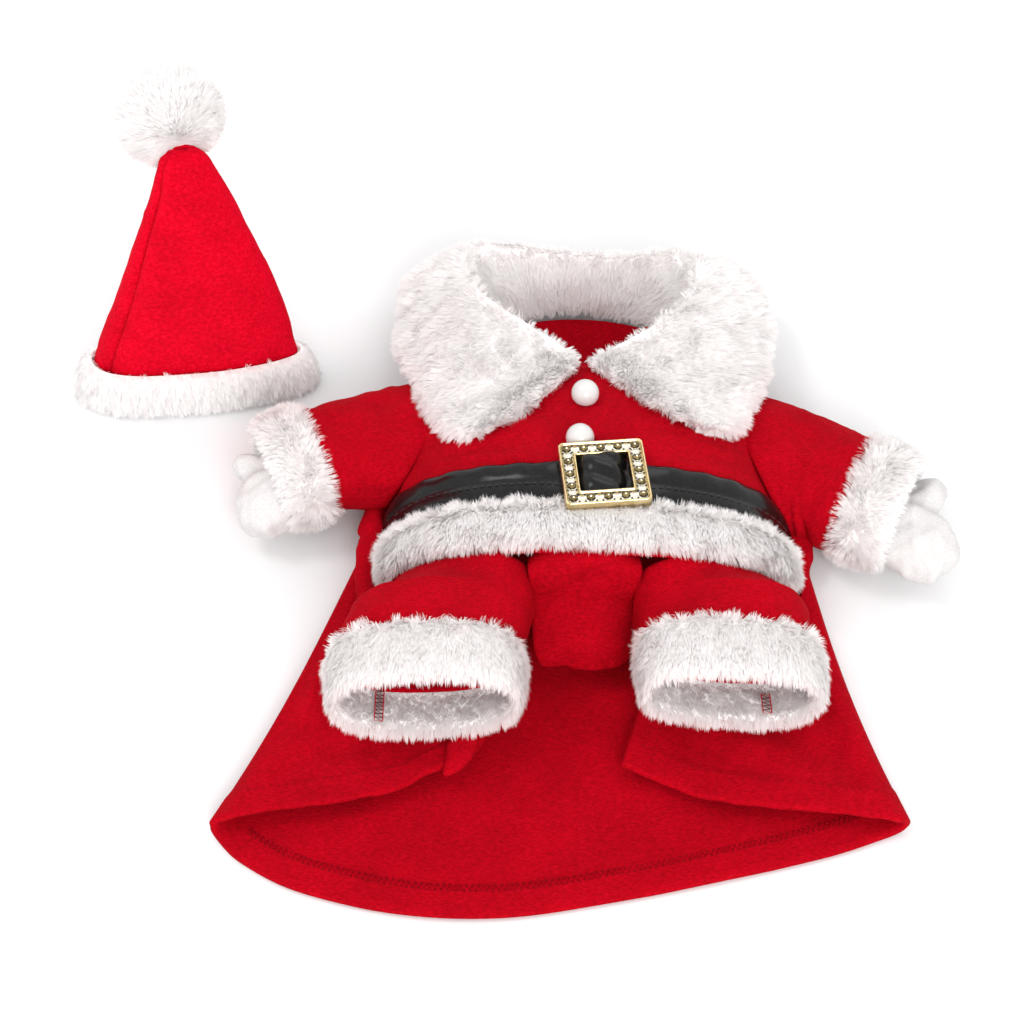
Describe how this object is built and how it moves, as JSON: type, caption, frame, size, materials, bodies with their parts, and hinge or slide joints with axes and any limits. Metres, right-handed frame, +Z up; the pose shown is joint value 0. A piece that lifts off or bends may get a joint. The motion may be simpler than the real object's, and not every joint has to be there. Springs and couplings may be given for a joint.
{
  "type": "pet santa costume",
  "caption": "Red fleece pet costume laid on its back, with white plush collar, cuffs and trim, stuffed arms, short legs, a skirt, a belt with a buckle, and a cone hat with a pompom.",
  "frame": {"origin": "on the floor, under the middle of the set's box", "axes": "+X to the right of the laid coat as it is seen from its hem, +Y from the hem towards the collar, +Z up"},
  "size_m": [0.3502, 0.301, 0.1443],
  "materials": {
    "fleece": "matte napped fleece, deep red",
    "plush": "long white plush",
    "mitten": "short white fleece",
    "belt": "glossy black coated cloth",
    "gold": "polished pale gold with clear stones",
    "button": "glossy white",
    "hat_fleece": "matte napped fleece, bright red"
  },
  "bodies": {
    "root": {"sleeve_left": "fleece", "sleeve_right": "fleece", "bodice_front": "fleece", "bodice_back": "fleece", "skirt": "fleece", "leg_left": "fleece", "leg_right": "fleece", "belly": "fleece", "cuff_left": "plush", "cuff_right": "plush", "leg_cuff_left": "plush", "leg_cuff_right": "plush", "hem_trim": "plush", "collar": "plush", "hat_brim": "plush", "pompom": "plush", "mitten_left": "mitten", "mitten_right": "mitten", "belt": "belt", "buckle": "gold", "button_upper": "button", "button_lower": "button", "hat_front": "hat_fleece", "hat_back": "hat_fleece"}
  },
  "joints": []
}
